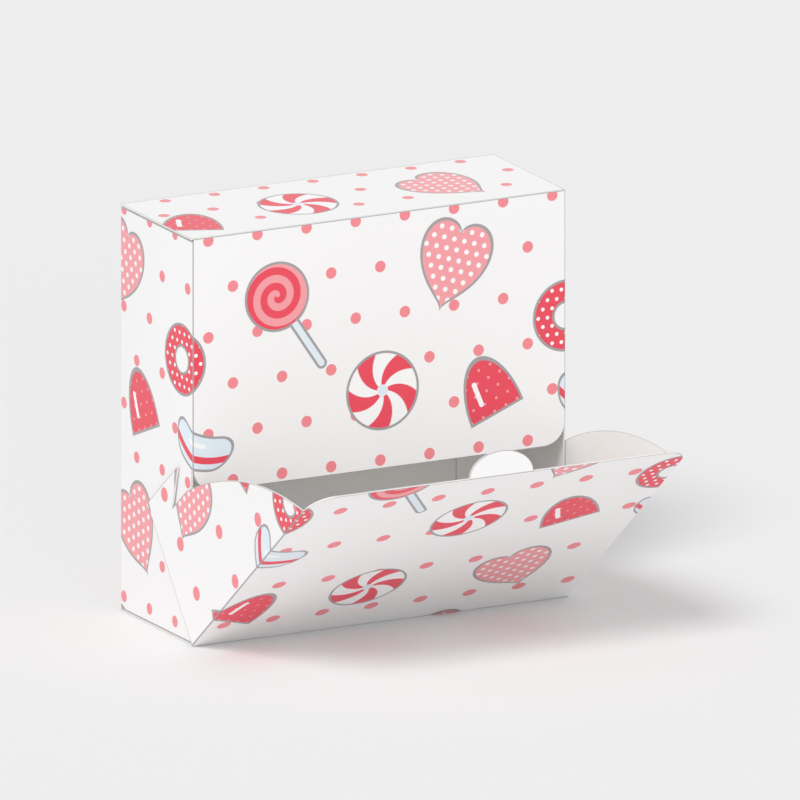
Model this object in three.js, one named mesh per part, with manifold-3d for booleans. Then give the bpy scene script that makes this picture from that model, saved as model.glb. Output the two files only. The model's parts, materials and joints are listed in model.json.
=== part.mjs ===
// Folding carton for sweets: a wide, shallow box of coated board whose lower front tips
// forward about the bottom front crease as a chute. Side wings fold back from the chute
// and run outside the box's sides, and a half-round thumb tab stands on its top edge.
//
// Frame: millimetres, +Z up, front of the box towards -Y. The origin is the centre of
// the box's base, on the underside of the bottom panel.

import * as THREE from "three";
import { mergeVertices } from "three/addons/utils/BufferGeometryUtils.js";
import Module from "manifold-3d";

// Box
const boxWidth = 120;
const boxDepth = 45;
const boxHeight = 120;
const board = 0.5;
const foldGap = 0.3;

// Front panel and the mouth below it
const mouthHeight = 45;
const mouthCornerRadius = 7;

// Chute, in its own flat sizes, measured from its crease
const chuteOpenAngle = THREE.MathUtils.degToRad(51);
const chuteLength = 96.6;
const chuteCornerRadius = 7.5;
const wingReach = 45;
const wingNotchReach = 36.8;
const wingShoulderHeight = 26;
const wingNotchHeight = 14.8;
const wingHookHeight = 25.5;
const wingArcRise = 5.6;
const wingHem = 1.2;
const wingCornerRadius = 1.5;

// Thumb tab
const tabWidth = 20.6;
const tabHeight = 7.3;

// Lid, tuck flap and top dust flaps
const tuckLength = 12;
const tuckCornerRadius = 6;
const tuckLean = THREE.MathUtils.degToRad(14);
const tuckSideClearance = 0.8;
const topDustLength = 34;
const topDustFrontClearance = 4.5;
const topDustBackClearance = 1.5;
const topDustFrontTaper = 3;
const topDustBackSlopeShare = 0.5;

// Bottom dust flaps and the glue seam
const bottomDustLength = 42;
const bottomDustTaper = 5;
const bottomDustFrontClearance = 1;
const seamWidth = 12;
const seamTaper = 4;

const curveSteps = 10;
const noseSteps = 5;

// Places that follow from the sizes
const halfWidth = boxWidth / 2;
const halfDepth = boxDepth / 2;
const halfBoard = board / 2;
const wallDepth = boxDepth - 2 * board;
const innerWidth = boxWidth - 2 * board;
const noseToFlap = halfBoard + foldGap;
const wingInner = halfWidth + foldGap;
const chuteWidth = 2 * (wingInner + board);
const wingTop = chuteLength - chuteCornerRadius;
const chuteAxisY = -halfDepth - foldGap - halfBoard;
const chuteAxisZ = halfBoard;
const lidAxisY = halfDepth - halfBoard;
const lidAxisZ = boxHeight - halfBoard;
const tuckAxisY = -halfDepth + board + foldGap + halfBoard;
const topDustAxisX = halfWidth - halfBoard;
const topDustAxisZ = lidAxisZ - board - foldGap;

// Finishes: the outside is coated and printed, the inside is bare board
const printedBoard = new THREE.MeshStandardMaterial({ color: 0xfbe3e4, roughness: 0.35, metalness: 0 });
const bareBoard = new THREE.MeshStandardMaterial({ color: 0xf1efea, roughness: 0.75, metalness: 0 });

// Planes: where an outline's first axis, second axis and thickness point
const X = new THREE.Vector3(1, 0, 0);
const Y = new THREE.Vector3(0, 1, 0);
const Z = new THREE.Vector3(0, 0, 1);
const facingFront = new THREE.Matrix4().makeBasis(X, Z, Y.clone().negate());
const facingSide = new THREE.Matrix4().makeBasis(Y, Z, X);
const facingUp = new THREE.Matrix4().makeBasis(X, Y, Z);
const lyingForward = new THREE.Matrix4().makeBasis(Z, Y.clone().negate(), X);

const wasm = await Module();
wasm.setup();

// Extrude an outline by a depth, centred on the outline's plane, and turn it to a plane
function slab(outline, depth, plane, steps = curveSteps) {
  const geometry = new THREE.ExtrudeGeometry(outline, { depth, bevelEnabled: false, curveSegments: steps });
  geometry.translate(0, 0, -depth / 2);
  geometry.applyMatrix4(plane);
  return geometry;
}

function toSolid(geometry) {
  const bare = geometry.clone();
  bare.deleteAttribute("normal");
  bare.deleteAttribute("uv");
  const merged = mergeVertices(bare);
  const vertProperties = Float32Array.from(merged.attributes.position.array);
  const triVerts = Uint32Array.from(merged.index.array);
  return new wasm.Manifold(new wasm.Mesh({ numProp: 3, vertProperties, triVerts }));
}

function toGeometry(solid) {
  const mesh = solid.getMesh();
  const geometry = new THREE.BufferGeometry();
  geometry.setAttribute("position", new THREE.BufferAttribute(mesh.vertProperties, 3));
  geometry.setIndex(new THREE.BufferAttribute(mesh.triVerts, 1));
  geometry.computeVertexNormals();
  return geometry;
}

function piece(name, geometry, material, x = 0, y = 0, z = 0) {
  const mesh = new THREE.Mesh(geometry, material);
  mesh.name = name;
  mesh.position.set(x, y, z);
  return mesh;
}

// Section of a board that carries a crease: it runs along the outline's second axis and
// ends in a half-round nose about the crease
function boardSection(from, crease) {
  const section = new THREE.Shape();
  section.moveTo(-halfBoard, from);
  section.lineTo(halfBoard, from);
  section.lineTo(halfBoard, crease);
  section.absarc(0, crease, halfBoard, 0, Math.PI, false);
  section.closePath();
  return section;
}

// Rectangle whose lower corners are rounded, its top edge at the top height
function roundedApron(width, bottom, top, radius) {
  const half = width / 2;
  const outline = new THREE.Shape();
  outline.moveTo(-half, top);
  outline.lineTo(-half, bottom + radius);
  outline.absarc(-half + radius, bottom + radius, radius, Math.PI, 1.5 * Math.PI, false);
  outline.lineTo(half - radius, bottom);
  outline.absarc(half - radius, bottom + radius, radius, -0.5 * Math.PI, 0, false);
  outline.lineTo(half, top);
  outline.closePath();
  return outline;
}

// Sleeve: front, back and side walls, and the seam that closes it

function frontPanel() {
  const outline = roundedApron(boxWidth, mouthHeight, boxHeight, mouthCornerRadius);
  return piece("front_panel", slab(outline, board, facingFront), printedBoard, 0, -halfDepth + halfBoard, 0);
}

function backPanel() {
  const section = boardSection(board, lidAxisZ);
  return piece("back_panel", slab(section, boxWidth, facingSide, noseSteps), printedBoard, 0, lidAxisY, 0);
}

function sidePanel(name, side) {
  const section = boardSection(board, topDustAxisZ);
  const geometry = slab(section, wallDepth, facingFront, noseSteps);
  return piece(name, geometry, printedBoard, side * topDustAxisX, 0, 0);
}

function glueSeamFlap() {
  const bottom = 2 * board;
  const top = topDustAxisZ - noseToFlap;
  const outline = new THREE.Shape();
  outline.moveTo(0, bottom);
  outline.lineTo(0, top);
  outline.lineTo(-seamWidth, top - seamTaper);
  outline.lineTo(-seamWidth, bottom + seamTaper);
  outline.closePath();
  const geometry = slab(outline, board, facingFront);
  return piece("glue_seam_flap", geometry, bareBoard, halfWidth - board, halfDepth - board - halfBoard, 0);
}

// Base: the bottom panel runs forward to the chute's crease, and the dust flaps lie on it

function bottomPanel() {
  const section = boardSection(-halfDepth, -chuteAxisY);
  const geometry = slab(section, boxWidth, lyingForward, noseSteps);
  return piece("bottom_panel", geometry, printedBoard, 0, 0, halfBoard);
}

function bottomDustFlap(name, side) {
  const front = -halfDepth + bottomDustFrontClearance;
  const back = halfDepth - board;
  const tip = -side * bottomDustLength;
  const outline = new THREE.Shape();
  outline.moveTo(0, front);
  outline.lineTo(tip, front + bottomDustTaper);
  outline.lineTo(tip, back - bottomDustTaper);
  outline.lineTo(0, back);
  outline.closePath();
  const geometry = slab(outline, board, facingUp);
  return piece(name, geometry, bareBoard, side * (halfWidth - board), 0, board + halfBoard);
}

// Top: the lid swings on the back panel, the dust flaps on the side panels

function topLid() {
  const reach = lidAxisY - tuckAxisY;
  const section = boardSection(noseToFlap, reach);
  return piece("top_lid", slab(section, boxWidth, lyingForward, noseSteps), printedBoard);
}

function lidTuckFlap() {
  const width = innerWidth - 2 * tuckSideClearance;
  const outline = roundedApron(width, -tuckLength, -noseToFlap, tuckCornerRadius);
  return piece("lid_tuck_flap", slab(outline, board, facingFront), printedBoard);
}

// The back edge of a top dust flap slopes away from the lid's crease, so that the flap
// stays under the lid as both rise
function topDustFlap(name, side) {
  const front = -halfDepth + board + topDustFrontClearance;
  const back = lidAxisY - topDustBackClearance;
  const outline = new THREE.Shape();
  outline.moveTo(-side * noseToFlap, front);
  outline.lineTo(-side * topDustLength, front + topDustFrontTaper);
  outline.lineTo(-side * topDustLength, back - topDustBackSlopeShare * topDustLength);
  outline.lineTo(-side * noseToFlap, back - topDustBackSlopeShare * noseToFlap);
  outline.closePath();
  const geometry = slab(outline, board, facingUp);
  return piece(name, geometry, bareBoard, side * topDustAxisX, 0, topDustAxisZ);
}

function lidAssembly() {
  const lid = new THREE.Group();
  lid.position.set(0, lidAxisY, lidAxisZ);
  lid.add(topLid());
  const tuck = new THREE.Group();
  tuck.position.set(0, tuckAxisY - lidAxisY, 0);
  tuck.rotation.x = tuckLean;
  tuck.add(lidTuckFlap());
  lid.add(tuck);
  return lid;
}

// Chute: built closed, upright over the front, then tipped open about its crease

function chuteFlap() {
  const outline = roundedApron(chuteWidth, -chuteLength - halfBoard, -noseToFlap, chuteCornerRadius);
  const sheet = slab(outline, boxDepth, facingFront);
  sheet.rotateX(Math.PI);
  const section = boardSection(noseToFlap, chuteLength);
  const strip = slab(section, 2 * chuteWidth, facingSide, noseSteps);
  const solid = toSolid(strip).intersect(toSolid(sheet));
  return piece("chute_flap", toGeometry(solid), printedBoard);
}

// Wing outline: up the crease, along the arc to the shoulder, down into the notch, up to
// the hook and down the back edge to the hem
function wingOutline() {
  const start = noseToFlap;
  const notchRun = wingNotchReach - start;
  const notchDrop = wingTop - wingShoulderHeight;
  const chord = Math.hypot(notchRun, notchDrop);
  const radius = (chord * chord / 4 + wingArcRise * wingArcRise) / (2 * wingArcRise);
  const setback = (radius - wingArcRise) / chord;
  const centreP = start + notchRun / 2 - notchDrop * setback;
  const centreQ = wingShoulderHeight + notchDrop / 2 - notchRun * setback;
  const angleAtCrease = Math.atan2(wingTop - centreQ, start - centreP);
  const angleAtShoulder = Math.atan2(wingShoulderHeight - centreQ, wingNotchReach - centreP);
  const outline = new THREE.Shape();
  outline.moveTo(start, noseToFlap);
  outline.lineTo(wingReach - wingCornerRadius, wingHem);
  outline.absarc(
    wingReach - wingCornerRadius, wingHem + wingCornerRadius, wingCornerRadius, -0.5 * Math.PI, 0, false);
  outline.lineTo(wingReach, wingHookHeight);
  outline.lineTo(wingNotchReach, wingNotchHeight);
  outline.lineTo(wingNotchReach, wingShoulderHeight);
  outline.absarc(centreP, centreQ, radius, angleAtShoulder, angleAtCrease, false);
  outline.closePath();
  return outline;
}

function chuteWing(name, side) {
  const geometry = slab(wingOutline(), board, facingSide);
  return piece(name, geometry, printedBoard, side * (wingInner + halfBoard), 0, 0);
}

// Half-ellipse above its crease, less the gap that the crease takes
function thumbTab() {
  const halfTab = tabWidth / 2;
  const startAngle = Math.asin(noseToFlap / tabHeight);
  const outline = new THREE.Shape();
  outline.absellipse(0, 0, halfTab, tabHeight, startAngle, Math.PI - startAngle, false, 0);
  outline.closePath();
  return piece("thumb_tab", slab(outline, board, facingFront), printedBoard);
}

function chuteAssembly() {
  const chute = new THREE.Group();
  chute.position.set(0, chuteAxisY, chuteAxisZ);
  chute.rotation.x = chuteOpenAngle;
  chute.add(chuteFlap());
  chute.add(chuteWing("chute_wing_left", -1));
  chute.add(chuteWing("chute_wing_right", 1));
  const tab = new THREE.Group();
  tab.position.set(0, 0, chuteLength);
  tab.rotation.x = -chuteOpenAngle;
  tab.add(thumbTab());
  chute.add(tab);
  return chute;
}

const carton = new THREE.Group();
carton.add(frontPanel());
carton.add(backPanel());
carton.add(sidePanel("left_side_panel", -1));
carton.add(sidePanel("right_side_panel", 1));
carton.add(glueSeamFlap());
carton.add(bottomPanel());
carton.add(bottomDustFlap("bottom_dust_flap_left", -1));
carton.add(bottomDustFlap("bottom_dust_flap_right", 1));
carton.add(topDustFlap("top_dust_flap_left", -1));
carton.add(topDustFlap("top_dust_flap_right", 1));
carton.add(lidAssembly());
carton.add(chuteAssembly());

export default carton;
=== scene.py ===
"""Folding carton for sweets with a tilt-out chute, built panel by panel as its blank is cut.

Every panel is drawn flat, as it lies in the die-cut blank. It is bent at its creases, given
the board's thickness and put where the fixed frame says. Lengths are metres, and the sizes
in the print are millimetres on the blank.
"""

import json
import math

import bmesh
import bpy
from bpy.props import FloatProperty, FloatVectorProperty, PointerProperty
from mathutils import Matrix, Vector


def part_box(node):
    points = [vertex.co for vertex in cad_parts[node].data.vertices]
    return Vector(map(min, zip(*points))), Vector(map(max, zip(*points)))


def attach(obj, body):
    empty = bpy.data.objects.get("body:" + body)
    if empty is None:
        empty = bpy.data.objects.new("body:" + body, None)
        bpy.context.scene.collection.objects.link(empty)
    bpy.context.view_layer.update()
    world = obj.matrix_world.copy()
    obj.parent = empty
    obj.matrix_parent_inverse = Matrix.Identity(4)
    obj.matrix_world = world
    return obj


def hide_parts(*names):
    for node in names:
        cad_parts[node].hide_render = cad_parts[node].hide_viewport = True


bl_info = {
    "name": "Sweets Carton",
    "version": (1, 0, 0),
    "blender": (4, 5, 0),
    "location": "View3D > Sidebar > Carton",
    "description": "Builds a folding carton with a tilt-out chute, its print and its stage",
    "category": "Object",
}

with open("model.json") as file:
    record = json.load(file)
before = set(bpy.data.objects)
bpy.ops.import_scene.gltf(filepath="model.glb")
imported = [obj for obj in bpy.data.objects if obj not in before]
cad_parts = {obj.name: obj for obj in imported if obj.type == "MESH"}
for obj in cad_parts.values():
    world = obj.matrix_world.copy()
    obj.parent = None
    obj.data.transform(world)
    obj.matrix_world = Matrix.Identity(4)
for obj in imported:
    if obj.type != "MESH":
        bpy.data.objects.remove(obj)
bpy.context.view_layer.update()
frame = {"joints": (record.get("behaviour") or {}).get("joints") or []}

MM = 0.001

# Corners nearer than the first are one place, and slivers narrower than the second are merged
SAME_PLACE = 0.001 * MM
SLIVER = 0.006 * MM

# The frame's axes, and the ways on a flat panel
X = Vector((1, 0, 0))
Y = Vector((0, 1, 0))
Z = Vector((0, 0, 1))
RIGHT = Vector((1, 0))
LEFT = Vector((-1, 0))
UP = Vector((0, 1))
DOWN = Vector((0, -1))


def span(node, axis):
    """Where a node's box begins and ends along one axis."""
    low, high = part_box(node)
    return low[axis], high[axis]


def crease_place(name):
    """Where the frame has the middle of a moving crease."""
    return Vector(next(joint["pos_m"] for joint in frame["joints"] if joint["name"] == name))


# The frame's own sizes and creases
WIDTH = span("back_panel", 0)[1] - span("back_panel", 0)[0]
FRONT = span("front_panel", 1)[0]
BACK = span("back_panel", 1)[1]
DEPTH = BACK - FRONT
HEIGHT = span("back_panel", 2)[1]
BOARD = span("back_panel", 1)[1] - span("back_panel", 1)[0]
MOUTH = span("front_panel", 2)[0]
CHUTE_SIDE = span("chute_flap", 0)[1]
HALF_WIDTH = WIDTH / 2
HALF_DEPTH = DEPTH / 2
HALF_BOARD = BOARD / 2
CHUTE_CREASE = crease_place("chute_crease")
TAB_CREASE = crease_place("tab_crease")
LID_CREASE = crease_place("lid_crease")
TUCK_CREASE = crease_place("tuck_crease")
DUST_CREASE = crease_place("dust_right_crease")
CHUTE_LENGTH = (TAB_CREASE - CHUTE_CREASE).length
CHUTE_TILT = math.atan2(CHUTE_CREASE.y - TAB_CREASE.y, TAB_CREASE.z - CHUTE_CREASE.z)
CHUTE_PLACE = Matrix.Translation(CHUTE_CREASE) @ Matrix.Rotation(CHUTE_TILT, 4, "X")


def linear(code):
    """Scene-linear colour from a six-digit display colour."""
    parts = [int(code[i : i + 2], 16) / 255 for i in (0, 2, 4)]
    return tuple(c / 12.92 if c <= 0.04045 else ((c + 0.055) / 1.055) ** 2.4 for c in parts)


def length(name, about, default):
    return FloatProperty(name=name, description=about, default=default, unit="LENGTH", precision=5)


def turn(name, about, degrees):
    return FloatProperty(name=name, description=about, default=math.radians(degrees), unit="ROTATION")


def colour(name, about, code):
    return FloatVectorProperty(
        name=name, description=about, default=linear(code), subtype="COLOR", min=0, max=1
    )


class CartonSizes(bpy.types.PropertyGroup):
    """Sizes that the frame doesn't give"""

    fold_radius: length("Fold radius", "Outer radius of a fold between two panels", 0.7 * MM)
    edge_wear: length("Edge wear", "How far a cut edge is rubbed round", 0.05 * MM)
    edge_line: length("Edge line", "Width of the greyed line along cuts and creases", 0.3 * MM)
    mouth_corner: length("Mouth corner", "Radius of the front panel's lower corners", 7 * MM)
    chute_corner: length("Chute corner", "Radius of the chute's top corners", 7.5 * MM)
    wing_reach: length("Wing reach", "How far a wing reaches back from the chute's crease", 45 * MM)
    wing_notch: length("Wing notch", "How far back the wing's notch is cut", 36.8 * MM)
    wing_shoulder: length("Wing shoulder", "Where the wing's arc ends at the notch", 26 * MM)
    wing_notch_foot: length("Notch foot", "Lowest point of the wing's notch", 14.8 * MM)
    wing_hook: length("Wing hook", "Height of the hook behind the notch", 25.5 * MM)
    wing_arc_rise: length("Wing arc rise", "How far the wing's arc stands off its chord", 5.6 * MM)
    wing_hem: length("Wing hem", "Height of the wing's lower back corner", 1.2 * MM)
    wing_corner: length("Wing corner", "Radius of the wing's lower back corner", 1.5 * MM)
    tab_width: length("Tab width", "Width of the thumb tab at its crease", 20.6 * MM)
    tab_height: length("Tab height", "Height of the thumb tab", 7.3 * MM)
    tuck_length: length("Tuck length", "Length of the lid's tuck flap", 12 * MM)
    tuck_corner: length("Tuck corner", "Radius of the tuck flap's corners", 6 * MM)
    tuck_side_gap: length("Tuck side gap", "Room on each side of the tuck flap", 0.8 * MM)
    tuck_lean: turn("Tuck lean", "How far the tuck flap leans in", 14)
    seam_taper: length("Seam taper", "How far the glue flap's ends are cut back", 4 * MM)
    dust_taper: length("Dust taper", "How far a dust flap narrows to its end", 3 * MM)


class CartonColours(bpy.types.PropertyGroup):
    """Colours of the board, its print and the floor"""

    coated: colour("Coated board", "White coated outside", "FBFAFA")
    bare: colour("Bare board", "Uncoated inside", "FBFAF8")
    core: colour("Board core", "Cut edge of the board", "CCC8C2")
    # The crease grey paints the line along cuts and creases, which is partly painted shade, and the
    # bare board's flecks
    crease: colour("Crease", "Line where the coating is creased", "9C999A")
    dot: colour("Dot", "Polka dots", "F98D95")
    red: colour("Red", "Strong red of the sweets", "F0485C")
    pink: colour("Pink", "Pink of the sweets", "FAA3A9")
    ice: colour("Ice blue", "Pale blue of the sweets", "E6F2FB")
    outline: colour("Outline", "Grey line round each sweet", "A6A3A4")
    floor: colour("Floor", "Floor and backdrop", "F2F2F2")


# Shader maths


class Wire:
    """An output socket that takes arithmetic, each step adding a Math node."""

    def __init__(self, recipe, socket):
        self.recipe = recipe
        self.socket = socket

    def math(self, operation, *others, clamp=False):
        return self.recipe.math(operation, self, *others, clamp=clamp)

    def __add__(self, other):
        return self.math("ADD", other)

    def __radd__(self, other):
        return self.recipe.math("ADD", other, self)

    def __sub__(self, other):
        return self.math("SUBTRACT", other)

    def __rsub__(self, other):
        return self.recipe.math("SUBTRACT", other, self)

    def __mul__(self, other):
        return self.math("MULTIPLY", other)

    def __rmul__(self, other):
        return self.recipe.math("MULTIPLY", other, self)

    def __truediv__(self, other):
        return self.math("DIVIDE", other)

    def __rtruediv__(self, other):
        return self.recipe.math("DIVIDE", other, self)

    def __neg__(self):
        return self.math("MULTIPLY", -1.0)

    def __abs__(self):
        return self.math("ABSOLUTE")

    def least(self, other):
        return self.math("MINIMUM", other)

    def most(self, other):
        return self.math("MAXIMUM", other)

    def sine(self):
        return self.math("SINE")

    def root(self):
        return self.math("SQRT")

    def fraction(self):
        return self.math("FRACT")

    def angle_from(self, across):
        """Angle of a point that has this height at a distance across."""
        return self.math("ARCTAN2", across)

    def ramp(self, slope):
        """A ramp from 0 to 1, or back, that is one half where this value is zero."""
        return self.math("MULTIPLY_ADD", slope, 0.5, clamp=True)

    def capped(self, factor):
        """This value times a factor, held between 0 and 1."""
        return self.math("MULTIPLY", factor, clamp=True)


# The colour sockets of a Mix node
MIX_FACTOR = 0
MIX_FIRST = 6
MIX_SECOND = 7
MIX_RESULT = 2

# Millimetres of the blank in one unit of its map
PRINT_MM = 100.0


class Recipe:
    """A material or world under construction: its node tree and the ways to add to it."""

    def __init__(self, block):
        self.block = block
        block.use_nodes = True
        self.tree = block.node_tree
        self.tree.nodes.clear()

    def node(self, kind, settings=None, inputs=None):
        """Add a node: its settings first, then the values and wires of its sockets."""
        node = self.tree.nodes.new(kind)
        for key, value in (settings or {}).items():
            setattr(node, key, value)
        for place, value in (inputs or {}).items():
            if isinstance(value, Wire):
                self.tree.links.new(value.socket, node.inputs[place])
            else:
                node.inputs[place].default_value = value
        return node

    def add(self, kind, settings=None, inputs=None, output=0):
        """Add a node and take one of its outputs."""
        return Wire(self, self.node(kind, settings, inputs).outputs[output])

    def math(self, operation, *values, clamp=False):
        """Add a Math node that takes these values in order."""
        settings = {"operation": operation, "use_clamp": clamp}
        return self.add("ShaderNodeMath", settings, dict(enumerate(values)))

    def blend(self, factor, first, second):
        """Mix two colours; a colour is a wire or three numbers."""
        inputs = {MIX_FACTOR: factor}
        for place, shade in ((MIX_FIRST, first), (MIX_SECOND, second)):
            inputs[place] = shade if isinstance(shade, Wire) else (*shade, 1.0)
        return self.add("ShaderNodeMix", {"data_type": "RGBA"}, inputs, MIX_RESULT)

    def noise(self, scale, detail, stretch=(1.0, 1.0, 1.0)):
        """Noise that is drawn out along an axis where the stretch is below one."""
        place = self.add("ShaderNodeTexCoord", output="Object")
        stretched = self.add("ShaderNodeMapping", None, {"Vector": place, "Scale": stretch})
        inputs = {"Vector": stretched, "Scale": scale, "Detail": detail}
        return self.add("ShaderNodeTexNoise", None, inputs)

    def blank_place(self):
        """Where a point lies on the flat blank, across and along, in millimetres."""
        place = self.add("ShaderNodeUVMap", {"uv_map": "print"})
        parts = self.node("ShaderNodeSeparateXYZ", None, {"Vector": place}).outputs
        return Wire(self, parts["X"]) * PRINT_MM, Wire(self, parts["Y"]) * PRINT_MM

    def edge_mark(self):
        """The mark that mark_edges leaves: one along cuts and creases, and none inwards."""
        return self.add("ShaderNodeAttribute", {"attribute_name": "edge"}, output="Fac")

    def bumped(self, height, distance, strength):
        """The surface's normal where a height of one stands out by the distance."""
        inputs = {"Strength": strength, "Distance": distance, "Height": height}
        return self.add("ShaderNodeBump", None, inputs)

    def finish(self, base, roughness, normal):
        """Add the shader and the output, and give back the finished material."""
        inputs = {"Base Color": base, "Roughness": roughness, "Normal": normal}
        shader = self.add("ShaderNodeBsdfPrincipled", None, inputs)
        self.node("ShaderNodeOutputMaterial", None, {"Surface": shader})
        return self.block


# Distances on the blank, in millimetres: they are negative inside a shape

OUTLINE_BLUR = 0.06
HONEYCOMB = 0.87


def hypot(first, second):
    """Distance of a place that lies this far along each of two axes."""
    return (first * first + second * second).root()


def inside(distance):
    """One inside a shape and nothing outside, from the distance to its edge."""
    return distance.ramp(-1.0 / OUTLINE_BLUR)


def repeated(value, centre, period):
    """Distance to the nearest copy of a centre that repeats at a period."""
    return ((value - centre) / period + 0.5).fraction() * period - period / 2


def turned(across, along, degrees):
    """The same place as seen from a sweet that is turned anticlockwise."""
    c, s = math.cos(math.radians(degrees)), math.sin(math.radians(degrees))
    return across * c + along * s, along * c - across * s


def rod(across, along, half, radius):
    """Distance to a round-ended bar that stands along its second axis."""
    return hypot(across, (abs(along) - half).most(0.0)) - radius


def dots(across, along, pitch, row, radius, first=(0.0, 0.0)):
    """One inside round dots that stand in staggered rows."""
    x, y = first
    even = hypot(repeated(across, x, pitch), repeated(along, y, 2 * row))
    odd = hypot(repeated(across, x + pitch / 2, pitch), repeated(along, y + row, 2 * row))
    return inside(even.least(odd) - radius)


def speckles(across, along, pitch, radius):
    """Small dots inside a sweet, as close as in a honeycomb."""
    return dots(across, along, pitch, pitch * HONEYCOMB, radius)


# The printed sweets: each gives the distance to its outline, and its painted layers

WHITE = (1, 1, 1)


def swirl_mint(recipe, shades, a, b):
    """Round mint with curved stripes and a pale middle."""
    radius = 8.4
    middle = 1.3
    stripes = 5
    curl = 0.46
    crispness = 5.0
    reach = hypot(a, b)
    swirl = (b.angle_from(a) * stripes + reach * curl).sine().ramp(crispness)
    paint = recipe.blend(swirl, WHITE, shades.red)
    return reach - radius, recipe.blend(inside(reach - middle), paint, shades.ice)


def lollipop(recipe, shades, a, b):
    """Disc with a coiled stripe, on a pale stick."""
    disc_radius = 7.4
    disc_rise = 5.2
    coil_pitch = 3.4
    crispness = 24.0
    stick_drop = 8.2
    above = b - disc_rise
    reach = hypot(a, above)
    coil = (reach / coil_pitch - above.angle_from(a) / math.tau).fraction() - 0.5
    stripe = (abs(coil) - 0.25).ramp(crispness)
    disc = reach - disc_radius
    stick = rod(a, b + stick_drop, half=5.6, radius=1.0)
    paint = recipe.blend(stripe, shades.red, shades.pink)
    return disc.least(stick), recipe.blend(inside(disc), shades.ice, paint)


def heart(recipe, shades, a, b):
    """Heart with small dots: a circle whose sides are lifted by a root curve."""
    half_width = 8.6
    drop = 0.6
    lift = 0.62
    reach = 0.98
    slope = 7.6
    across = abs(a) / half_width
    along = (b + drop) / half_width - across.root() * lift
    rim = (hypot(across, along) - reach) * slope
    return rim, recipe.blend(speckles(a, b, pitch=2.5, radius=0.55), shades.pink, WHITE)


def gumdrop(recipe, shades, a, b):
    """Half an oval on a flat foot, sugared, with a short shine."""
    half_width = 6.4
    height = 13.0
    foot = 5.6
    slope = 7.0
    above = b + foot
    dome = (hypot(a / half_width, above / height) - 1.0) * slope
    shine = inside(rod(a + 2.6, b - 0.2, half=2.4, radius=0.55))
    sugar = speckles(a + 0.4, b, pitch=2.9, radius=0.32)
    paint = recipe.blend(sugar, shades.red, shades.pink)
    return dome.most(-above), recipe.blend(shine, paint, WHITE)


def jelly_bean(recipe, shades, a, b):
    """Bent bean with a band along it and a short shine."""
    bend = 0.034
    off_middle = 1.5
    band_half = 0.75
    bent = b - a * a * bend
    rim = rod(bent, a, half=4.6, radius=3.7)
    shine = inside(rod(bent - off_middle, a + 0.6, half=2.1, radius=0.5))
    band = inside(abs(bent + off_middle) - band_half)
    paint = recipe.blend(band, shades.ice, shades.red)
    return rim, recipe.blend(shine, paint, WHITE)


def sugar_ring(recipe, shades, a, b):
    """Flat ring with grains of sugar."""
    middle = 5.3
    half_width = 2.3
    rim = abs(hypot(a, b) - middle) - half_width
    return rim, recipe.blend(speckles(a, b, pitch=2.2, radius=0.42), shades.red, WHITE)


# The repeating print: its size, and each sweet's place across and along, and its turn
PRINT_WIDTH = 126.4
PRINT_HEIGHT = 114.4
SWEET_SCALE = 1.35
OUTLINE_HALF = 0.28
SWEETS = (
    (lollipop, -29.0, 94.0, 34),
    (swirl_mint, 1.0, 68.0, 0),
    (heart, 23.0, 101.0, -18),
    (gumdrop, 35.0, 64.0, 22),
    (jelly_bean, -59.0, 57.0, -20),
    (sugar_ring, 60.0, 83.0, 0),
    (swirl_mint, -15.0, 27.0, 20),
    (heart, 33.0, 25.0, 28),
    (gumdrop, -52.0, 22.0, -24),
)

# Polka dots of the box, and of the chute, where the rows lie further apart
BOX_DOTS = {"pitch": 15.8, "row": 14.3, "radius": 1.7, "first": (-15.5, 104.7)}
CHUTE_DOTS = {"pitch": 15.8, "row": 24.5, "radius": 2.1, "first": (-55.5, 12.7)}

# Fibres are noise that is stretched upwards
LONG_FIBRES = (1.0, 1.0, 0.2)
SHORT_FIBRES = (1.0, 1.0, 0.3)
COATED_FIBRES = (1.0, 1.0, 0.35)


def print_layers(recipe, shades, polka_dots):
    """Polka dots on the coated board, with sweets over them."""
    across, along = recipe.blank_place()
    paint = recipe.blend(dots(across, along, **polka_dots), shades.coated, shades.dot)
    for sweet, x, y, degrees in SWEETS:
        across_from = repeated(across, x, PRINT_WIDTH) / SWEET_SCALE
        along_from = repeated(along, y, PRINT_HEIGHT) / SWEET_SCALE
        rim, fill = sweet(recipe, shades, *turned(across_from, along_from, degrees))
        paint = recipe.blend(inside(rim), paint, fill)
        paint = recipe.blend(inside(abs(rim) - OUTLINE_HALF), paint, shades.outline)
    return paint


def worn_and_shaded_line(edge):
    """The edge mark as a line, full in its outer third and faded inwards: crushed, cracked coating
    with painted shade of the edges and folds.
    """
    return edge.capped(1.5)


def coated_board(name, polka_dots=None):
    """White coated outside, printed where it has dots, with a grey line at each crease that is partly
    crushed coating, partly painted shade.
    """
    least_roughness = 0.3
    fibre_roughness = 0.1
    edge_roughness = 0.2
    fibre_height = 0.12
    edge_sink = 0.3
    shades = bpy.context.scene.carton_colours
    recipe = Recipe(bpy.data.materials.new(name))
    paint = print_layers(recipe, shades, polka_dots) if polka_dots else shades.coated
    edge = recipe.edge_mark()
    # Grey line along cuts and creases: partly crushed, cracked coating, partly painted shade of the
    # edges and folds
    paint = recipe.blend(worn_and_shaded_line(edge), paint, shades.crease)
    fibres = recipe.noise(scale=2600.0, detail=3.0, stretch=COATED_FIBRES)
    dents = recipe.noise(scale=60.0, detail=1.0)
    roughness = fibres * fibre_roughness + edge * edge_roughness + least_roughness
    height = fibres * fibre_height + dents - edge * edge_sink
    normal = recipe.bumped(height, distance=0.03 * MM, strength=0.35)
    return recipe.finish(paint, roughness, normal)


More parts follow.
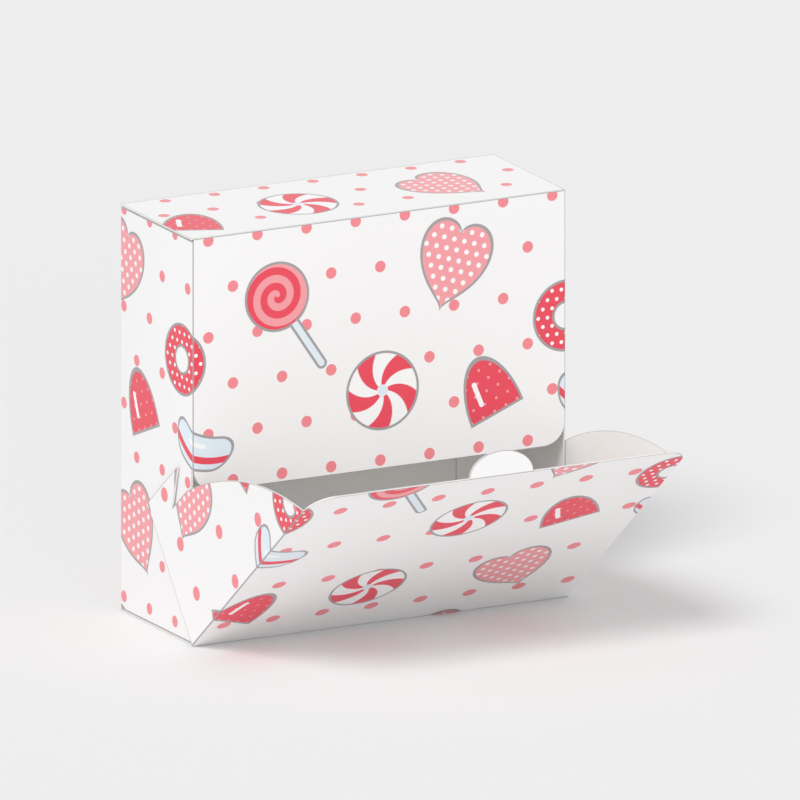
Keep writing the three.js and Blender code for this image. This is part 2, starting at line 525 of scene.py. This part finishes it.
def bare_board(name):
    """Uncoated inside of the board: matt, off-white, with fibres, a few flecks and a grey line along
    cuts and creases that is partly painted shade.
    """
    least_roughness = 0.75
    fibre_roughness = 0.15
    cloud_share = 0.12
    line_share = 0.6
    fleck_share = 0.3
    fleck_level = 0.64
    fleck_crispness = 4.0
    shades = bpy.context.scene.carton_colours
    recipe = Recipe(bpy.data.materials.new(name))
    fibres = recipe.noise(scale=1800.0, detail=4.0, stretch=LONG_FIBRES)
    clouds = recipe.noise(scale=90.0, detail=2.0)
    grain = recipe.noise(scale=5200.0, detail=1.0, stretch=SHORT_FIBRES)
    flecks = (grain - fleck_level).capped(fleck_crispness)
    line = worn_and_shaded_line(recipe.edge_mark())
    paint = recipe.blend(clouds * cloud_share, shades.bare, shades.core)
    paint = recipe.blend(flecks * fleck_share, paint, shades.crease)
    # Grey line along cuts and creases: partly crushed board, partly painted shade of the edges and
    # folds
    paint = recipe.blend(line * line_share, paint, shades.crease)
    normal = recipe.bumped(fibres, distance=0.05 * MM, strength=0.5)
    return recipe.finish(paint, fibres * fibre_roughness + least_roughness, normal)


def cut_board(name):
    """Cut edge: the plies of the board's core."""
    least_roughness = 0.82
    ply_roughness = 0.1
    ply_share = 0.6
    shades = bpy.context.scene.carton_colours
    recipe = Recipe(bpy.data.materials.new(name))
    plies = recipe.noise(scale=3600.0, detail=3.0)
    paint = recipe.blend(plies * ply_share, shades.coated, shades.core)
    normal = recipe.bumped(plies, distance=0.06 * MM, strength=0.6)
    return recipe.finish(paint, plies * ply_roughness + least_roughness, normal)


# Each finish's maker, and what it is given beside its name
FINISH_MAKERS = {
    "box_print": (coated_board, BOX_DOTS),
    "chute_print": (coated_board, CHUTE_DOTS),
    "plain_coat": (coated_board,),
    "bare_board": (bare_board,),
    "cut_board": (cut_board,),
}
finishes = {}


def finish_named(name):
    """Make each finish once."""
    if name not in finishes:
        maker, *given = FINISH_MAKERS[name]
        finishes[name] = maker(name, *given)
    return finishes[name]


# A panel's skins: its outside, its inside and its cut edge
PRINTED = ("box_print", "bare_board", "cut_board")
CHUTE_PRINTED = ("chute_print", "bare_board", "cut_board")
PLAIN = ("plain_coat", "bare_board", "cut_board")
BARE = ("bare_board", "bare_board", "cut_board")

# Each panel is bent by half the corner, in this many rows
HALF_FOLD = math.radians(45)
FOLD_ROWS = 4

# A nose is scored this many boards behind its tip, and rounded in steps over nearly all of it
NOSE_SCORES = (1.0, 1.6)
NOSE_STEPS = 4
NOSE_SHARE = 0.99

# Edges sharper than the first are worn, and those under the second are shaded smooth
WORN_OVER = math.radians(50)
SMOOTH_UNDER = math.radians(40)


# Drawing and folding board


def deselect_all():
    bpy.ops.object.select_all(action="DESELECT")


def edit_all():
    """Enter edit mode with the whole mesh selected."""
    bpy.ops.object.mode_set(mode="EDIT")
    bpy.ops.mesh.select_all(action="SELECT")


def leave_edit():
    bpy.ops.object.mode_set(mode="OBJECT")


def select_in_edit(piece, kind, test):
    """Select vertices or edges of the piece in edit mode by their place."""
    bpy.ops.mesh.select_mode(type=kind)
    bpy.ops.mesh.select_all(action="DESELECT")
    mesh = bmesh.from_edit_mesh(piece.data)
    for element in mesh.verts if kind == "VERT" else mesh.edges:
        if test(element):
            element.select_set(True)
    mesh.select_flush_mode()
    bmesh.update_edit_mesh(piece.data)


class Pen:
    """Draws one outline of board flat on the ground, stroke by stroke, and fills it."""

    def __init__(self, name, x, y):
        deselect_all()
        bpy.ops.mesh.primitive_plane_add(size=BOARD)
        self.piece = bpy.context.object
        self.piece.name = name
        self.piece.data.name = name
        bpy.ops.object.mode_set(mode="EDIT")
        bpy.ops.mesh.select_mode(type="VERT")
        bpy.ops.mesh.select_all(action="SELECT")
        bpy.ops.mesh.merge(type="CENTER")
        bpy.ops.transform.translate(value=(x, y, 0))
        self.at = Vector((x, y))

    def line(self, x, y):
        """Draw a straight edge from the last corner to a new one."""
        step = Vector((x, y)) - self.at
        bpy.ops.mesh.extrude_vertices_move(TRANSFORM_OT_translate={"value": (*step, 0)})
        self.at = Vector((x, y))

    def arc(self, x, y, degrees, steps=10):
        """Sweep about a centre, anticlockwise where the degrees are positive."""
        turned_by = Matrix.Rotation(math.radians(degrees), 2)
        way = 1 if degrees > 0 else -1
        bpy.ops.mesh.spin(
            steps=steps, angle=math.radians(abs(degrees)), center=(x, y, 0), axis=(0, 0, -way)
        )
        centre = Vector((x, y))
        self.at = centre + turned_by @ (self.at - centre)

    def fill(self):
        """Close the outline, fill it and leave edit mode with the printed side up."""
        bpy.ops.mesh.select_all(action="SELECT")
        bpy.ops.mesh.remove_doubles(threshold=SAME_PLACE)
        bpy.ops.mesh.edge_face_add()
        leave_edit()
        if self.piece.data.polygons[0].normal.z < 0:
            edit_all()
            bpy.ops.mesh.flip_normals()
            leave_edit()
        return self.piece


def rectangle(name, left, bottom, right, top):
    """Draw a whole rectangle, ready to be filled."""
    pen = Pen(name, left, bottom)
    pen.line(right, bottom)
    pen.line(right, top)
    pen.line(left, top)
    return pen


def merge_slivers():
    """Merge the corners that a score or a bevel leaves almost on one another."""
    edit_all()
    bpy.ops.mesh.remove_doubles(threshold=SLIVER)
    leave_edit()


def score(way, distance):
    """Cut a straight line across the flat board at a distance along one way."""
    edit_all()
    bpy.ops.mesh.bisect(plane_co=(*(way * distance), 0), plane_no=(*way, 0))
    leave_edit()


def mark_edges(piece):
    """Mark the sheet for its finish: one along every cut and crease, fading inwards."""
    edit_all()
    bpy.ops.mesh.inset(thickness=bpy.context.scene.carton_sizes.edge_line)
    leave_edit()
    middle = max(piece.data.polygons, key=lambda face: face.area)
    inner = set(middle.vertices)
    marks = piece.data.attributes.new("edge", "FLOAT", "POINT")
    for index, mark in enumerate(marks.data):
        mark.value = 0.0 if index in inner else 1.0


def lay_print(piece, shift):
    """Map the flat blank for the print, shifted to the panel's place on it."""
    layer = piece.data.uv_layers[0]
    layer.name = "print"
    for loop, place in zip(piece.data.loops, layer.data):
        at = piece.data.vertices[loop.vertex_index].co
        place.uv = ((at.x + shift[0]) / MM / PRINT_MM, (at.y + shift[1]) / MM / PRINT_MM)


def fold_down(piece, way, flat_end, radius):
    """Fold the board down by 45 degrees in small turns, one at each scored row."""
    step = HALF_FOLD / FOLD_ROWS
    hinge = Vector((*(way * flat_end), 0))
    ahead = Vector((*way, 0))
    axis = ahead.cross(-Z)
    along_x = abs(axis.x) > abs(axis.y)
    bpy.ops.object.mode_set(mode="EDIT")
    for row in range(FOLD_ROWS):
        angle = step if row else step / 2
        select_in_edit(
            piece, "VERT", lambda vertex: (vertex.co - hinge).dot(ahead) > SAME_PLACE
        )
        bpy.ops.transform.rotate(
            value=-angle * (axis.x if along_x else axis.y),
            orient_axis="X" if along_x else "Y",
            orient_type="GLOBAL",
            center_override=hinge,
        )
        ahead = Matrix.Rotation(angle, 3, axis) @ ahead
        hinge = hinge + ahead * (2 * radius * math.sin(step / 2))
    leave_edit()


def thicken(piece, skins):
    """Give the board its thickness inwards, with a finish on each skin."""
    for skin in skins:
        piece.data.materials.append(finish_named(skin))
    deselect_all()
    piece.select_set(True)
    bpy.context.view_layer.objects.active = piece
    solid = piece.modifiers.new("thickness", "SOLIDIFY")
    solid.thickness = BOARD
    solid.offset = -1
    solid.use_even_offset = True
    solid.material_offset = 1
    solid.material_offset_rim = 2
    bpy.ops.object.modifier_apply(modifier=solid.name)


def round_nose(piece, way, tip):
    """Round the end of a board that turns about a moving crease."""
    slack = BOARD / 5

    def across_tip(edge):
        """Both ends lie at the tip, and the edge doesn't just run through the board."""
        ends = [vertex.co.xy.dot(way) for vertex in edge.verts]
        through = abs(edge.calc_length() - BOARD) < slack
        return min(ends) > tip - SAME_PLACE and not through

    bpy.ops.object.mode_set(mode="EDIT")
    select_in_edit(piece, "EDGE", across_tip)
    radius = HALF_BOARD * NOSE_SHARE
    bpy.ops.mesh.bevel(offset=radius, segments=NOSE_STEPS, affect="EDGES", clamp_overlap=True)
    leave_edit()


def soften_edges(piece):
    """Rub the cut edges round, and shade the folds smooth."""
    merge_slivers()
    worn = piece.modifiers.new("wear", "BEVEL")
    worn.width = bpy.context.scene.carton_sizes.edge_wear
    worn.segments = 1
    worn.limit_method = "ANGLE"
    worn.angle_limit = WORN_OVER
    bpy.ops.object.modifier_apply(modifier=worn.name)
    merge_slivers()
    bpy.ops.object.shade_smooth_by_angle(angle=SMOOTH_UNDER)


def settle(piece, placing, body, node):
    """Put the finished panel in its place, and hand it to the frame."""
    piece.matrix_world = placing
    bpy.ops.object.transform_apply(location=True, rotation=True, scale=True)
    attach(piece, body)
    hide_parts(node)


def facing(origin, across, along):
    """Placing of a flat panel by the frame's directions of its width and height."""
    axes = Matrix((across, along, across.cross(along))).transposed()
    return Matrix.Translation(origin) @ axes.to_4x4()


def fold_sizes():
    """Outer radius of a fold, and how much less board half of it takes than a square corner."""
    radius = bpy.context.scene.carton_sizes.fold_radius
    return radius, radius - radius * math.pi / 4


def make_panel(pen, node, body, placing, skins, shift=(0, 0), folds=(), noses=()):
    """Turn a drawn outline into a finished panel.

    The shift is the way along the blank from the front panel's axes to this panel's. A fold
    is a way and the place where the flat board ends: the board bends down 45 degrees there
    and meets its neighbour's half of the fold. A nose is a way and the place of its tip: the
    board ends there, rounded about a crease that moves.
    """
    piece = pen.fill()
    radius, gain = fold_sizes()
    half_fold = radius - gain
    mark_edges(piece)
    for way, flat_end in folds:
        for row in range(FOLD_ROWS):
            score(way, flat_end + half_fold * row / FOLD_ROWS)
    for way, tip in noses:
        for boards in NOSE_SCORES:
            score(way, tip - boards * BOARD)
    merge_slivers()
    lay_print(piece, shift)
    for way, flat_end in folds:
        fold_down(piece, way, flat_end, radius)
    thicken(piece, skins)
    for way, tip in noses:
        round_nose(piece, way, tip)
    soften_edges(piece)
    settle(piece, placing, body, node)


# The sleeve's panels; a hand is -1 for a left piece and 1 for a right one


def front_panel():
    """Its sides fold back, and its lower corners round the mouth."""
    radius, gain = fold_sizes()
    corner = bpy.context.scene.carton_sizes.mouth_corner
    edge = HALF_WIDTH - gain
    pen = Pen("front_board", -edge, HEIGHT)
    pen.line(-edge, MOUTH + corner)
    pen.arc(-edge + corner, MOUTH + corner, 90)
    pen.line(edge - corner, MOUTH)
    pen.arc(edge - corner, MOUTH + corner, 90)
    pen.line(edge, HEIGHT)
    placing = facing((0, FRONT, 0), X, Z)
    folds = ((LEFT, HALF_WIDTH - radius), (RIGHT, HALF_WIDTH - radius))
    make_panel(pen, "front_panel", "box", placing, PRINTED, folds=folds)


def back_panel():
    """It folds round to the left side and under to the bottom, and carries the lid's crease."""
    radius, gain = fold_sizes()
    pen = rectangle("back_board", -HALF_WIDTH, gain, HALF_WIDTH - gain, HEIGHT)
    placing = facing((0, BACK, 0), -X, Z)
    shift = (WIDTH + DEPTH - 4 * gain, 0)
    folds = ((RIGHT, HALF_WIDTH - radius), (DOWN, -radius))
    noses = ((UP, HEIGHT),)
    make_panel(pen, "back_panel", "box", placing, PRINTED, shift, folds, noses)


def side_panel(name, node, hand):
    """It is folded to the front above the mouth, and cut straight beside the mouth.

    At the back the left one meets the back panel's fold, and the right one folds to the glue
    seam, inside the back panel.
    """
    radius, gain = fold_sizes()
    back_wall = HALF_DEPTH if hand < 0 else HALF_DEPTH - BOARD
    back_edge = back_wall - gain
    front_edge = HALF_DEPTH - gain
    mouth_edge = HALF_DEPTH - radius
    step = MOUTH + bpy.context.scene.carton_sizes.mouth_corner
    foot = BOARD + gain
    top = DUST_CREASE.z + HALF_BOARD
    pen = Pen(name, hand * back_edge, foot)
    pen.line(-hand * mouth_edge, foot)
    pen.line(-hand * mouth_edge, step)
    pen.line(-hand * front_edge, step)
    pen.line(-hand * front_edge, top)
    pen.line(hand * back_edge, top)
    placing = facing((hand * HALF_WIDTH, 0, 0), Y * hand, Z)
    shift = (hand * (HALF_WIDTH + HALF_DEPTH - 2 * gain), 0)
    folds = (
        (LEFT * hand, HALF_DEPTH - radius),
        (RIGHT * hand, back_wall - radius),
        (DOWN, -BOARD - radius),
    )
    make_panel(pen, node, "box", placing, PRINTED, shift, folds, ((UP, top),))


def seam_flap():
    """Glued inside the back panel, its ends cut back."""
    low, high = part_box("glue_seam_flap")
    taper = bpy.context.scene.carton_sizes.seam_taper
    root = BOARD - HALF_WIDTH
    pen = Pen("seam_flap", root, low.z)
    pen.line(-low.x, low.z + taper)
    pen.line(-low.x, high.z - taper)
    pen.line(root, high.z)
    make_panel(pen, "glue_seam_flap", "box", facing((0, BACK - BOARD, 0), -X, Z), BARE)


# The base's panels


def bottom_panel():
    """It runs forward from the back panel's fold to the chute's crease."""
    radius, gain = fold_sizes()
    tip = HALF_BOARD - CHUTE_CREASE.y
    pen = rectangle("bottom_board", -HALF_WIDTH, gain - BACK, HALF_WIDTH, tip)
    folds = ((DOWN, BACK - radius),)
    noses = ((UP, tip),)
    placing = facing((0, 0, 0), X, -Y)
    make_panel(pen, "bottom_panel", "box", placing, PLAIN, folds=folds, noses=noses)


def bottom_dust_flap(node, hand):
    """Glued on the bottom panel, its end tapered."""
    low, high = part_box(node)
    taper = bpy.context.scene.carton_sizes.dust_taper
    tip = low.x if hand > 0 else high.x
    root = hand * (HALF_WIDTH - BOARD)
    pen = Pen(node.replace("flap", "board"), root, -high.y)
    pen.line(tip, -high.y + taper)
    pen.line(tip, -low.y - taper)
    pen.line(root, -low.y)
    make_panel(pen, node, "box", facing((0, 0, low.z), X, -Y), BARE)


# The lid's panels


def top_lid():
    """It swings on the back panel, and carries the tuck flap at its front."""
    back = LID_CREASE.y + HALF_BOARD
    front = HALF_BOARD - TUCK_CREASE.y
    pen = rectangle("lid_board", -HALF_WIDTH, -front, HALF_WIDTH, back)
    placing = facing((0, 0, HEIGHT), X, Y)
    shift = (0, HEIGHT + HALF_DEPTH)
    noses = ((UP, back), (DOWN, front))
    make_panel(pen, "top_lid", "lid", placing, PRINTED, shift, noses=noses)


def tuck_flap():
    """It leans in behind the front panel, with round corners."""
    sizes = bpy.context.scene.carton_sizes
    edge = HALF_WIDTH - BOARD - sizes.tuck_side_gap
    corner = sizes.tuck_corner
    end = sizes.tuck_length
    pen = Pen("tuck_board", -edge, HALF_BOARD)
    pen.line(-edge, corner - end)
    pen.arc(-edge + corner, corner - end, 90)
    pen.line(edge - corner, -end)
    pen.arc(edge - corner, corner - end, 90)
    pen.line(edge, HALF_BOARD)
    lean = Matrix.Translation(TUCK_CREASE) @ Matrix.Rotation(sizes.tuck_lean, 4, "X")
    placing = lean @ facing((0, -HALF_BOARD, 0), X, Z)
    noses = ((UP, HALF_BOARD),)
    make_panel(pen, "lid_tuck_flap", "tuck", placing, PRINTED, (0, HEIGHT), noses=noses)


def top_dust_flap(node, body, hand):
    """It lies under the lid. Its back edge slopes, to stay under the lid as both rise."""
    low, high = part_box(node)
    taper = bpy.context.scene.carton_sizes.dust_taper
    crease = hand * DUST_CREASE.x
    tip = low.x if hand > 0 else high.x
    root = crease + hand * HALF_BOARD
    slope = abs(tip - crease) / 2
    pen = Pen(node.replace("flap", "board"), root, low.y)
    pen.line(tip, low.y + taper)
    pen.line(tip, high.y - slope)
    pen.line(root, high.y)
    placing = facing((0, 0, DUST_CREASE.z + HALF_BOARD), X, Y)
    make_panel(pen, node, body, placing, BARE, noses=((RIGHT * hand, abs(root)),))


# The chute's panels


def chute_flap():
    """Its sides fold back to the wings, and its top corners are round."""
    radius, gain = fold_sizes()
    corner = bpy.context.scene.carton_sizes.chute_corner
    edge = CHUTE_SIDE - gain
    foot = -HALF_BOARD
    top = CHUTE_LENGTH + HALF_BOARD
    pen = Pen("chute_board", -edge, foot)
    pen.line(edge, foot)
    pen.line(edge, top - corner)
    pen.arc(edge - corner, top - corner, 90, steps=14)
    pen.line(-edge + corner, top)
    pen.arc(-edge + corner, top - corner, 90, steps=14)
    placing = CHUTE_PLACE @ facing((0, -HALF_BOARD, 0), X, Z)
    folds = ((LEFT, CHUTE_SIDE - radius), (RIGHT, CHUTE_SIDE - radius))
    noses = ((UP, top), (DOWN, -foot))
    make_panel(pen, "chute_flap", "chute", placing, CHUTE_PRINTED, folds=folds, noses=noses)


def chute_wing(node, hand):
    """Up the crease, along the arc, down into the notch, up the hook and down the back."""
    sizes = bpy.context.scene.carton_sizes
    radius, gain = fold_sizes()
    top = CHUTE_LENGTH + HALF_BOARD - sizes.chute_corner
    notch = sizes.wing_notch + HALF_BOARD
    reach = sizes.wing_reach + HALF_BOARD
    corner = sizes.wing_corner
    rise = sizes.wing_arc_rise
    chord = Vector((notch - gain, sizes.wing_shoulder - top))
    arc_radius = (chord.length_squared / 4 + rise**2) / (2 * rise)
    inward = Vector((chord.y, -chord.x)).normalized()
    centre = Vector((gain, top)) + chord / 2 + inward * (arc_radius - rise)
    sweep = -math.degrees(2 * math.asin(chord.length / 2 / arc_radius))
    pen = Pen(node.replace("chute_", "") + "_board", hand * gain, BOARD)
    pen.line(hand * gain, top)
    pen.arc(hand * centre.x, centre.y, hand * sweep, steps=20)
    pen.line(hand * notch, sizes.wing_notch_foot)
    pen.line(hand * reach, sizes.wing_hook)
    pen.line(hand * reach, sizes.wing_hem + corner)
    pen.arc(hand * (reach - corner), sizes.wing_hem + corner, -hand * 90, steps=6)
    placing = CHUTE_PLACE @ facing((hand * CHUTE_SIDE, -HALF_BOARD, 0), Y * hand, Z)
    shift = (hand * (CHUTE_SIDE - 2 * gain), 0)
    folds = ((LEFT * hand, -radius),)
    make_panel(pen, node, "chute", placing, CHUTE_PRINTED, shift, folds)


def thumb_tab():
    """Half a disc above its crease, pressed down to a half oval."""
    sizes = bpy.context.scene.carton_sizes
    half = sizes.tab_width / 2
    pen = Pen("tab_board", -half, -HALF_BOARD)
    pen.line(half, -HALF_BOARD)
    pen.line(half, 0)
    pen.arc(0, 0, 180, steps=28)
    select_in_edit(pen.piece, "VERT", lambda vertex: vertex.co.y > SAME_PLACE)
    squash = sizes.tab_height / half
    bpy.ops.transform.resize(value=(1, squash, 1), center_override=(0, 0, 0))
    placing = facing(TAB_CREASE + Vector((0, -HALF_BOARD, 0)), X, Z)
    make_panel(pen, "thumb_tab", "tab", placing, PLAIN, noses=((DOWN, HALF_BOARD),))


class CARTON_OT_sleeve(bpy.types.Operator):
    """Front, back and side panels, and the glued seam"""

    bl_idname = "carton.sleeve"
    bl_label = "Sleeve"

    def execute(self, context):
        front_panel()
        back_panel()
        side_panel("left_side", "left_side_panel", -1)
        side_panel("right_side", "right_side_panel", 1)
        seam_flap()
        return {"FINISHED"}


class CARTON_OT_base(bpy.types.Operator):
    """Bottom panel, which runs forward to the chute's crease, and its dust flaps"""

    bl_idname = "carton.base"
    bl_label = "Base"

    def execute(self, context):
        bottom_panel()
        bottom_dust_flap("bottom_dust_flap_left", -1)
        bottom_dust_flap("bottom_dust_flap_right", 1)
        return {"FINISHED"}


class CARTON_OT_lid(bpy.types.Operator):
    """Lid, its tuck flap and the two top dust flaps"""

    bl_idname = "carton.lid"
    bl_label = "Lid"

    def execute(self, context):
        top_lid()
        tuck_flap()
        top_dust_flap("top_dust_flap_left", "dust_left", -1)
        top_dust_flap("top_dust_flap_right", "dust_right", 1)
        return {"FINISHED"}


class CARTON_OT_chute(bpy.types.Operator):
    """Chute flap, its two side wings and the thumb tab"""

    bl_idname = "carton.chute"
    bl_label = "Chute"

    def execute(self, context):
        chute_flap()
        chute_wing("chute_wing_left", -1)
        chute_wing("chute_wing_right", 1)
        thumb_tab()
        return {"FINISHED"}


# The photographed view: its frame, the near bottom corner's pixel, and the scale
PHOTO_PIXELS = 800
CORNER_PIXEL = (192.8, 645.9)
METRES_PER_PIXEL = 0.2855 * MM
CAMERA_AZIMUTH = math.radians(-27.4)
CAMERA_ELEVATION = math.radians(14.9)
CAMERA_DISTANCE = 3.0

# The floor, and the strength of the sky as light and as the backdrop that is seen
FLOOR_SIZE = 6.0
FLOOR_DROP = 0.05 * MM
SKY_STRENGTH = 0.64
BACKDROP_STRENGTH = 0.97
SEEN_BY = ("Is Camera Ray", "Is Glossy Ray", "Is Transmission Ray")

# Each lamp's name, the way to it, its width in degrees and its strength
SUNS = (
    ("key", (-0.5, -0.38, 0.78), 20, 1.24),
    ("fill", (-0.25, -0.96, 0.1), 30, 0.4),
)


def studio_floor(shade):
    """A matt floor just under the carton."""
    deselect_all()
    bpy.ops.mesh.primitive_plane_add(size=FLOOR_SIZE, location=(0, 0, -FLOOR_DROP))
    floor = bpy.context.object
    floor.name = "floor"
    recipe = Recipe(bpy.data.materials.new("floor"))
    shader = recipe.add("ShaderNodeBsdfDiffuse", None, {"Color": shade})
    recipe.node("ShaderNodeOutputMaterial", None, {"Surface": shader})
    floor.data.materials.append(recipe.block)


def studio_sky(shade):
    """White light from all round, seen and mirrored as the backdrop's colour."""
    recipe = Recipe(bpy.data.worlds.new("studio"))
    bpy.context.scene.world = recipe.block
    rays = recipe.node("ShaderNodeLightPath").outputs
    direct, mirrored, through = (Wire(recipe, rays[name]) for name in SEEN_BY)
    seen = direct + mirrored + through
    sky = {"Color": (*WHITE, 1), "Strength": SKY_STRENGTH}
    backdrop = {"Color": shade, "Strength": BACKDROP_STRENGTH}
    light = recipe.add("ShaderNodeBackground", None, sky)
    picture = recipe.add("ShaderNodeBackground", None, backdrop)
    mixed = recipe.add("ShaderNodeMixShader", None, {0: seen, 1: light, 2: picture})
    recipe.node("ShaderNodeOutputWorld", None, {"Surface": mixed})


def studio_lamps():
    """Wide suns, whose shadows are soft."""
    for name, way, angle, power in SUNS:
        bpy.ops.object.light_add(type="SUN", location=Vector(way))
        sun = bpy.context.object
        sun.name = name
        sun.data.angle = math.radians(angle)
        sun.data.energy = power
        sun.rotation_euler = Vector(way).to_track_quat("Z", "Y").to_euler()


def studio_camera():
    """A parallel view that puts the carton's near bottom corner on its pixel."""
    level = Vector((math.sin(CAMERA_AZIMUTH), -math.cos(CAMERA_AZIMUTH), 0))
    back = level * math.cos(CAMERA_ELEVATION) + Z * math.sin(CAMERA_ELEVATION)
    aim = (-back).to_track_quat("-Z", "Y")
    across = (PHOTO_PIXELS / 2 - CORNER_PIXEL[0]) * METRES_PER_PIXEL
    above = (CORNER_PIXEL[1] - PHOTO_PIXELS / 2) * METRES_PER_PIXEL
    target = Vector((-HALF_WIDTH, FRONT, 0)) + aim @ Vector((across, above, 0))
    bpy.ops.object.camera_add(location=target + back * CAMERA_DISTANCE, rotation=aim.to_euler())
    camera = bpy.context.object
    camera.data.type = "ORTHO"
    camera.data.ortho_scale = PHOTO_PIXELS * METRES_PER_PIXEL
    bpy.context.scene.camera = camera


class CARTON_OT_stage(bpy.types.Operator):
    """Floor, soft lights and the camera at the photographed angle"""

    bl_idname = "carton.stage"
    bl_label = "Stage"

    def execute(self, context):
        shade = (*context.scene.carton_colours.floor, 1)
        studio_floor(shade)
        studio_sky(shade)
        studio_lamps()
        studio_camera()
        context.scene.view_settings.view_transform = "Standard"
        return {"FINISHED"}


BUILD_STEPS = (CARTON_OT_sleeve, CARTON_OT_base, CARTON_OT_lid, CARTON_OT_chute, CARTON_OT_stage)


class CARTON_PT_build(bpy.types.Panel):
    """Lists the build steps in order, and the sizes and colours that they read"""

    bl_label = "Carton"
    bl_space_type = "VIEW_3D"
    bl_region_type = "UI"
    bl_category = "Carton"

    def draw(self, context):
        for operator in BUILD_STEPS:
            self.layout.operator(operator.bl_idname)
        for group in (context.scene.carton_sizes, context.scene.carton_colours):
            for key in type(group).__annotations__:
                self.layout.prop(group, key)


CLASSES = (CartonSizes, CartonColours, *BUILD_STEPS, CARTON_PT_build)


def register():
    for cls in CLASSES:
        bpy.utils.register_class(cls)
    bpy.types.Scene.carton_sizes = PointerProperty(type=CartonSizes)
    bpy.types.Scene.carton_colours = PointerProperty(type=CartonColours)


def unregister():
    del bpy.types.Scene.carton_colours
    del bpy.types.Scene.carton_sizes
    for cls in reversed(CLASSES):
        bpy.utils.unregister_class(cls)


def main():
    register()
    bpy.ops.carton.sleeve()
    bpy.ops.carton.base()
    bpy.ops.carton.lid()
    bpy.ops.carton.chute()
    bpy.ops.carton.stage()


if __name__ == "__main__":
    main()
